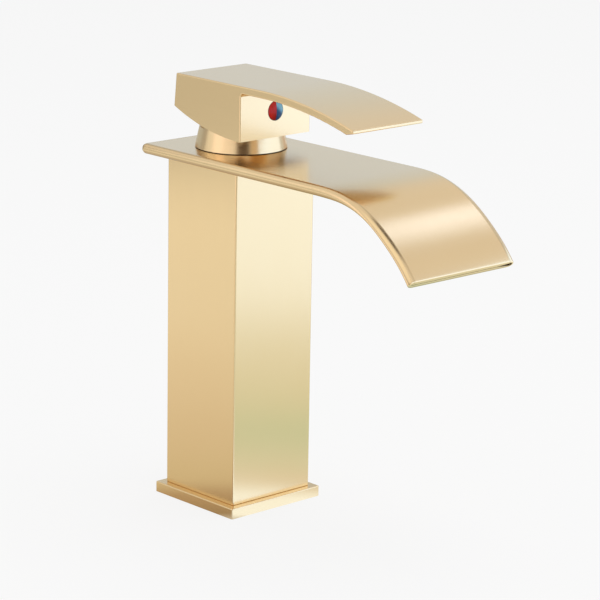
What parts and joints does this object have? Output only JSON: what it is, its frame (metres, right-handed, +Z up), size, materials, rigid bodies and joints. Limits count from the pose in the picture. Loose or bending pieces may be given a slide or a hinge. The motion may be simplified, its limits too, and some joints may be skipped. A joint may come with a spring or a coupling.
{
  "type": "basin faucet",
  "caption": "Square column basin mixer with a wide flat spout that bends down to a slot, and a lever on a round bonnet that lifts for flow and swivels for temperature.",
  "frame": {"origin": "centre of the foot plate, on the deck face", "axes": "+Z up along the column, +X the way the spout points, hot water on the -Y side"},
  "size_m": [0.1676, 0.0606, 0.1894],
  "materials": {
    "brushed_gold": "satin",
    "raw_brass": "satin",
    "black_rubber": "matte",
    "cartridge_plastic": "matte",
    "white_ceramic": "polished",
    "steel": "satin",
    "plug_black": "gloss",
    "hot_red": "gloss",
    "cold_blue": "gloss"
  },
  "bodies": {
    "faucet_body": {"base_plate": "brushed_gold", "base_gasket": "black_rubber", "column": "brushed_gold", "stud_bridge": "raw_brass", "valve_block": "raw_brass", "spout": "brushed_gold", "spout_end_cap": "brushed_gold", "cartridge_base": "cartridge_plastic", "port_seals": "black_rubber", "disc_seals": "black_rubber", "fixed_disc": "white_ceramic", "cartridge_housing": "cartridge_plastic", "retaining_nut": "raw_brass", "bonnet_washer": "black_rubber", "bonnet": "brushed_gold"},
    "swivel": {"stem_carrier": "cartridge_plastic", "pivot_pin": "steel"},
    "lever": {"handle": "brushed_gold", "stem": "steel", "set_screw": "steel", "indicator_plug": "plug_black", "hot_mark": "hot_red", "cold_mark": "cold_blue"},
    "slider": {"disc_carrier": "cartridge_plastic", "moving_disc": "white_ceramic"}
  },
  "joints": [
    {"name": "temperature_swivel", "type": "hinge", "parent": "faucet_body", "child": "swivel", "pos_m": [0, 0, 0.158], "axis": [0, 0, 1], "range_deg": [-45, 45]},
    {"name": "lever_lift", "type": "hinge", "parent": "swivel", "child": "lever", "pos_m": [0, 0, 0.158], "axis": [0, -1, 0], "range_deg": [0, 25]},
    {"name": "disc_slide", "type": "slide", "parent": "swivel", "child": "slider", "axis": [1, 0, 0], "range_m": [0, 0.0052]}
  ],
  "couplings": [
    {"joint": "disc_slide", "follows": "lever_lift", "m_per_rad": 0.011904}
  ]
}
